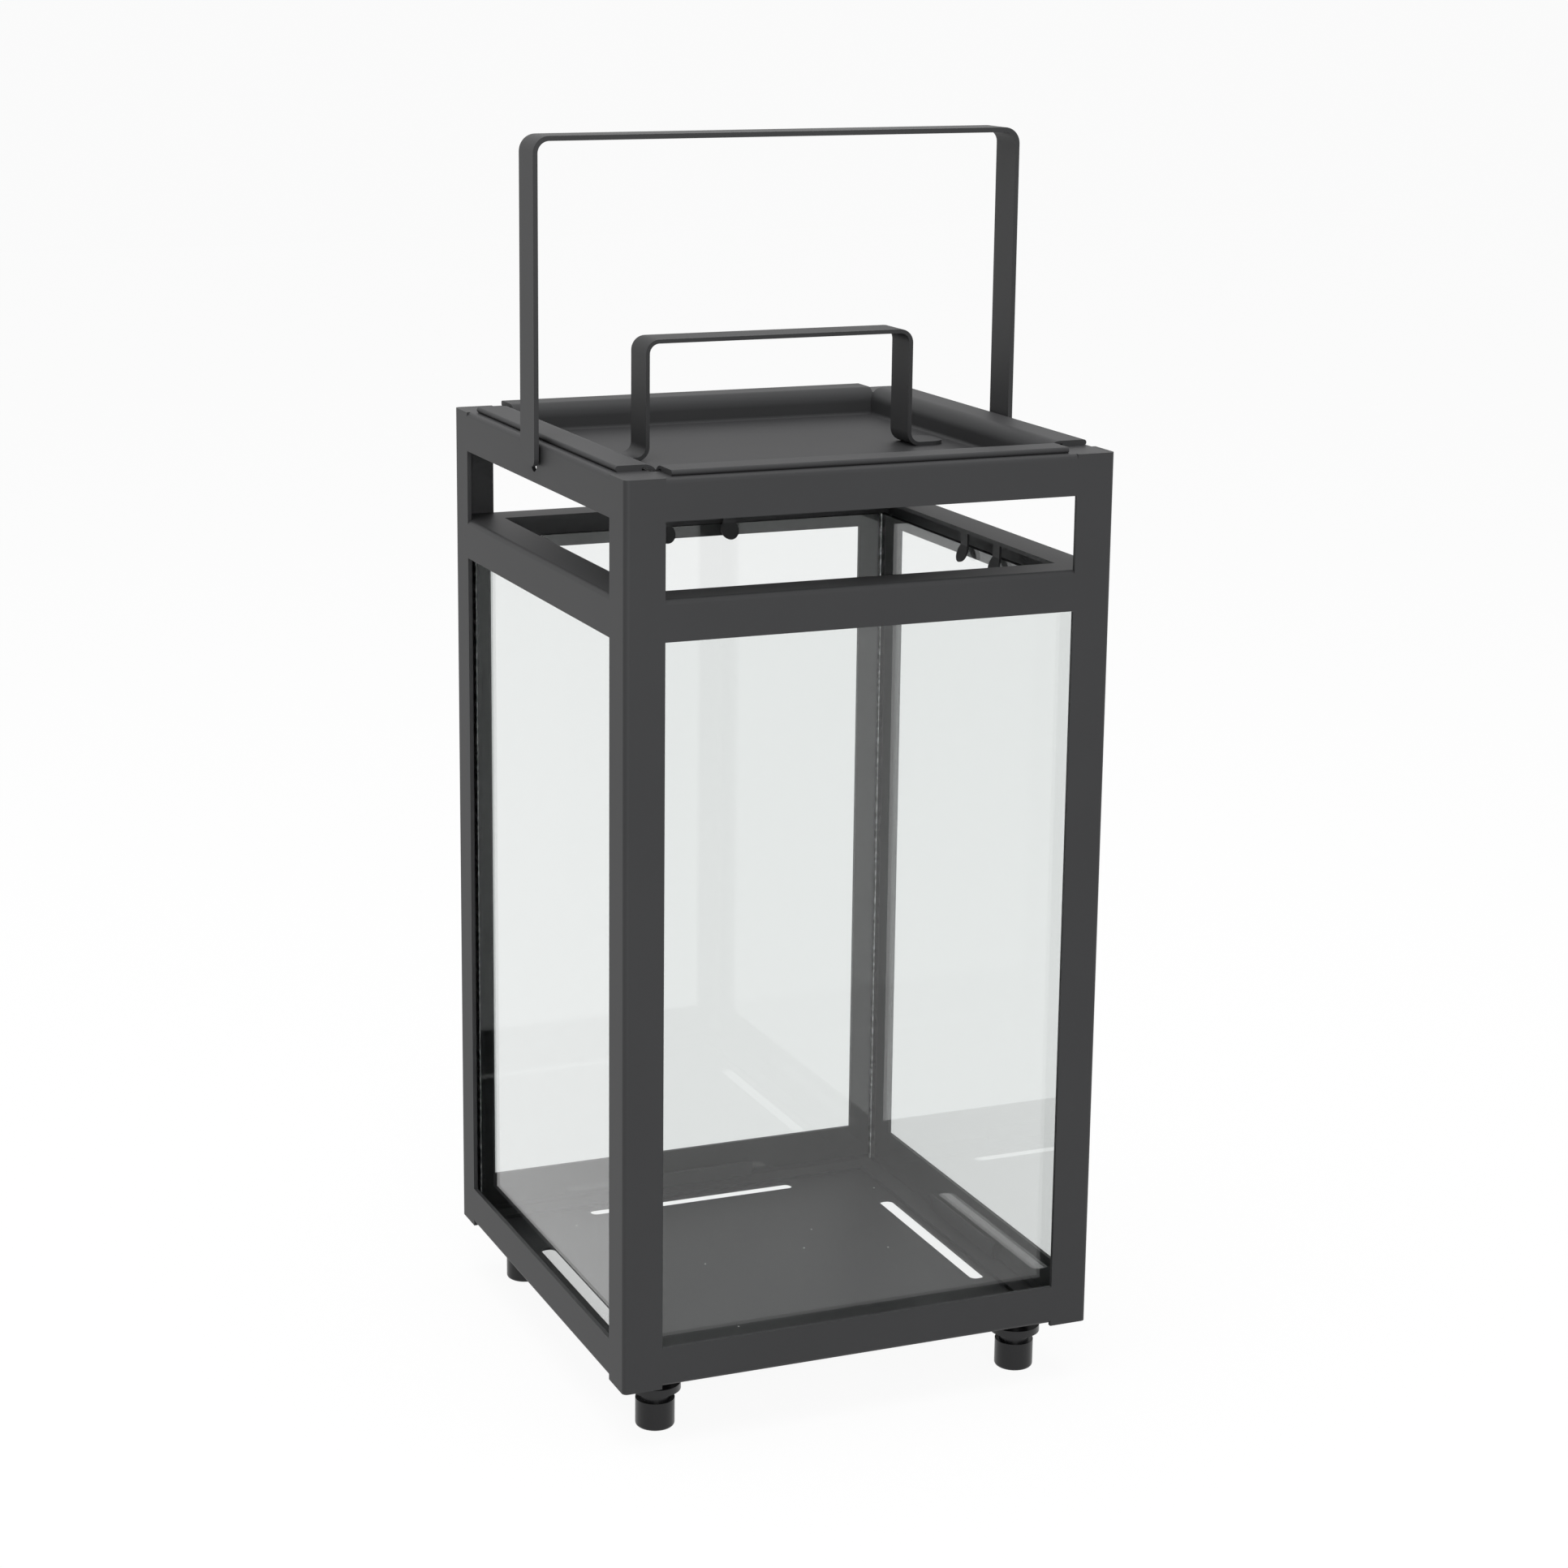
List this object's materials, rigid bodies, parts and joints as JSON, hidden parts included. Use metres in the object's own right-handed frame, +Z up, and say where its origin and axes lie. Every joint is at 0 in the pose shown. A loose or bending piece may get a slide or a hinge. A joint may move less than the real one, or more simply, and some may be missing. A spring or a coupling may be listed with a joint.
{
  "type": "candle lantern",
  "caption": "Square floor lantern of painted angle iron with glass panes, a lift-off tray lid with a handle, air gaps, and a swinging strap bail for carrying.",
  "frame": {"origin": "centre of the lantern at floor level, under the feet", "axes": "+Z up, -Y the front face, +X to the right when seen from the front"},
  "size_m": [0.2568, 0.25, 0.6211],
  "materials": {
    "frame_paint": "matt charcoal powder coat",
    "lid_paint": "matt charcoal powder coat",
    "bail_paint": "matt charcoal powder coat",
    "clip_paint": "matt charcoal powder coat",
    "peg_paint": "satin black",
    "cap_rubber": "satin black",
    "pane_glass": "clear float glass with green edges",
    "sealant": "clear sealant"
  },
  "bodies": {
    "frame": {"floor_plate": "frame_paint", "glass_seal": "sealant", "post_front_left": "frame_paint", "post_front_right": "frame_paint", "post_back_right": "frame_paint", "post_back_left": "frame_paint", "foot_peg_front_left": "peg_paint", "foot_peg_front_right": "peg_paint", "foot_peg_back_right": "peg_paint", "foot_peg_back_left": "peg_paint", "foot_cap_front_left": "cap_rubber", "foot_cap_front_right": "cap_rubber", "foot_cap_back_right": "cap_rubber", "foot_cap_back_left": "cap_rubber", "top_rail_front": "frame_paint", "top_rail_right": "frame_paint", "top_rail_back": "frame_paint", "top_rail_left": "frame_paint", "mid_rail_front": "frame_paint", "mid_rail_right": "frame_paint", "mid_rail_back": "frame_paint", "mid_rail_left": "frame_paint", "bottom_rail_front": "frame_paint", "bottom_rail_right": "frame_paint", "bottom_rail_back": "frame_paint", "bottom_rail_left": "frame_paint", "glass_front": "pane_glass", "glass_right": "pane_glass", "glass_back": "pane_glass", "glass_left": "pane_glass", "glass_clips_front": "clip_paint", "glass_clips_right": "clip_paint", "glass_clips_back": "clip_paint", "glass_clips_left": "clip_paint", "glass_stop_front": "clip_paint", "glass_stop_right": "clip_paint", "glass_stop_back": "clip_paint", "glass_stop_left": "clip_paint"},
    "lid": {"lid_tray": "lid_paint", "lid_handle": "lid_paint"},
    "bail": {"bail_handle": "bail_paint"}
  },
  "joints": [
    {"name": "lid_lift", "type": "slide", "parent": "frame", "child": "lid", "axis": [0, 0, 1], "range_m": [0, 0.075]},
    {"name": "bail_swing", "type": "hinge", "parent": "frame", "child": "bail", "pos_m": [0, 0, 0.4647], "axis": [1, 0, 0], "range_deg": [-115, 115]}
  ]
}
